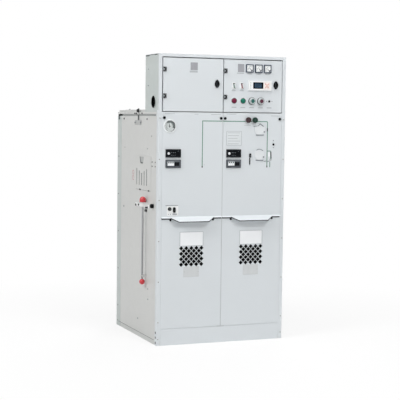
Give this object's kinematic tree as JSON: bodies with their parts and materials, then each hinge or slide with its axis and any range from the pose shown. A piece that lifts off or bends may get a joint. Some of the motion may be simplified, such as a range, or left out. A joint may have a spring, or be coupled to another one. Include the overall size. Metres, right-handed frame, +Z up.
{
  "type": "gas insulated breaker cabinet",
  "caption": "Floor-standing gas insulated switchgear cabinet with mechanism panels, vented cable covers and a low-voltage instrument box with hinged doors on its roof.",
  "frame": {"origin": "on the floor at the centre of the anchor holes in the base ring", "axes": "+Z up, -Y towards the front panels, +X to the right seen from the front"},
  "size_m": [0.8999, 0.8444, 1.785],
  "materials": {
    "front_paint": "satin powder coat, cool pale grey",
    "side_paint": "satin powder coat, warm pale grey",
    "dark_screen": "black painted mesh",
    "black_rubber": "matte rubber",
    "black_zinc": "black coated zinc casting",
    "black_plastic": "moulded black plastic",
    "grey_plastic": "moulded dark grey plastic",
    "pale_plastic": "moulded pale plastic",
    "gauge_case": "painted gauge case",
    "red_plastic": "gloss red plastic",
    "green_plastic": "gloss green plastic",
    "bright_steel": "bright plated steel"
  },
  "bodies": {
    "cabinet": {"front_left_post": "front_paint", "front_right_post": "front_paint", "left_mechanism_panel": "front_paint", "right_mechanism_panel": "front_paint", "left_cable_cover": "front_paint", "right_cable_cover": "front_paint", "plinth_panel": "front_paint", "lv_top": "front_paint", "lv_front_frame": "front_paint", "base_frame": "side_paint", "rear_left_post": "side_paint", "rear_right_post": "side_paint", "front_centre_post": "side_paint", "front_rails": "side_paint", "left_side_panel": "side_paint", "right_side_panel": "side_paint", "rear_panel": "side_paint", "top_cover": "side_paint", "roof_lid": "side_paint", "lv_left_side": "side_paint", "lv_right_side": "side_paint", "lv_back": "side_paint", "lv_floor": "side_paint", "lv_mullion": "side_paint", "side_vent_plate": "side_paint", "dust_screens": "dark_screen", "cable_grommet": "black_rubber", "hinge_brackets": "black_zinc", "pressure_gauge": "gauge_case", "fault_indicators": "black_plastic", "voltage_indicators": "grey_plastic", "drive_hole_covers": "pale_plastic", "panel_locks": "black_plastic", "panel_caps": "black_plastic", "operating_lever": "bright_steel", "lever_grips": "red_plastic", "lever_clips": "pale_plastic", "side_gland": "black_plastic", "lifting_lugs": "bright_steel"},
    "left_door_swing": {"left_door": "front_paint", "left_door_leaves": "black_zinc", "left_door_lock": "black_plastic"},
    "right_door_swing": {"right_door": "front_paint", "right_door_leaves": "black_zinc", "right_door_lock": "black_plastic", "panel_meters": "black_plastic", "protection_relay": "pale_plastic", "trip_links": "pale_plastic", "red_lamp": "red_plastic", "green_lamp": "green_plastic", "button_bezels": "bright_steel"},
    "close_button": {"close_push_button": "red_plastic"},
    "open_button": {"open_push_button": "green_plastic"},
    "green_button": {"green_door_button": "green_plastic"},
    "red_button": {"red_door_button": "red_plastic"}
  },
  "joints": [
    {"name": "left_door_hinge", "type": "hinge", "parent": "cabinet", "child": "left_door_swing", "pos_m": [-0.392, -0.405, 1.6], "axis": [0, 0, -1], "range_deg": [0, 110]},
    {"name": "right_door_hinge", "type": "hinge", "parent": "cabinet", "child": "right_door_swing", "pos_m": [0.007, -0.405, 1.6], "axis": [0, 0, -1], "range_deg": [0, 110]},
    {"name": "close_button_press", "type": "slide", "parent": "cabinet", "child": "close_button", "axis": [0, 1, 0], "range_m": [0, 0.005], "stiffness_N_per_m": 800},
    {"name": "open_button_press", "type": "slide", "parent": "cabinet", "child": "open_button", "axis": [0, 1, 0], "range_m": [0, 0.005], "stiffness_N_per_m": 800},
    {"name": "green_button_press", "type": "slide", "parent": "right_door_swing", "child": "green_button", "axis": [0, 1, 0], "range_m": [0, 0.004], "stiffness_N_per_m": 600},
    {"name": "red_button_press", "type": "slide", "parent": "right_door_swing", "child": "red_button", "axis": [0, 1, 0], "range_m": [0, 0.004], "stiffness_N_per_m": 600}
  ]
}
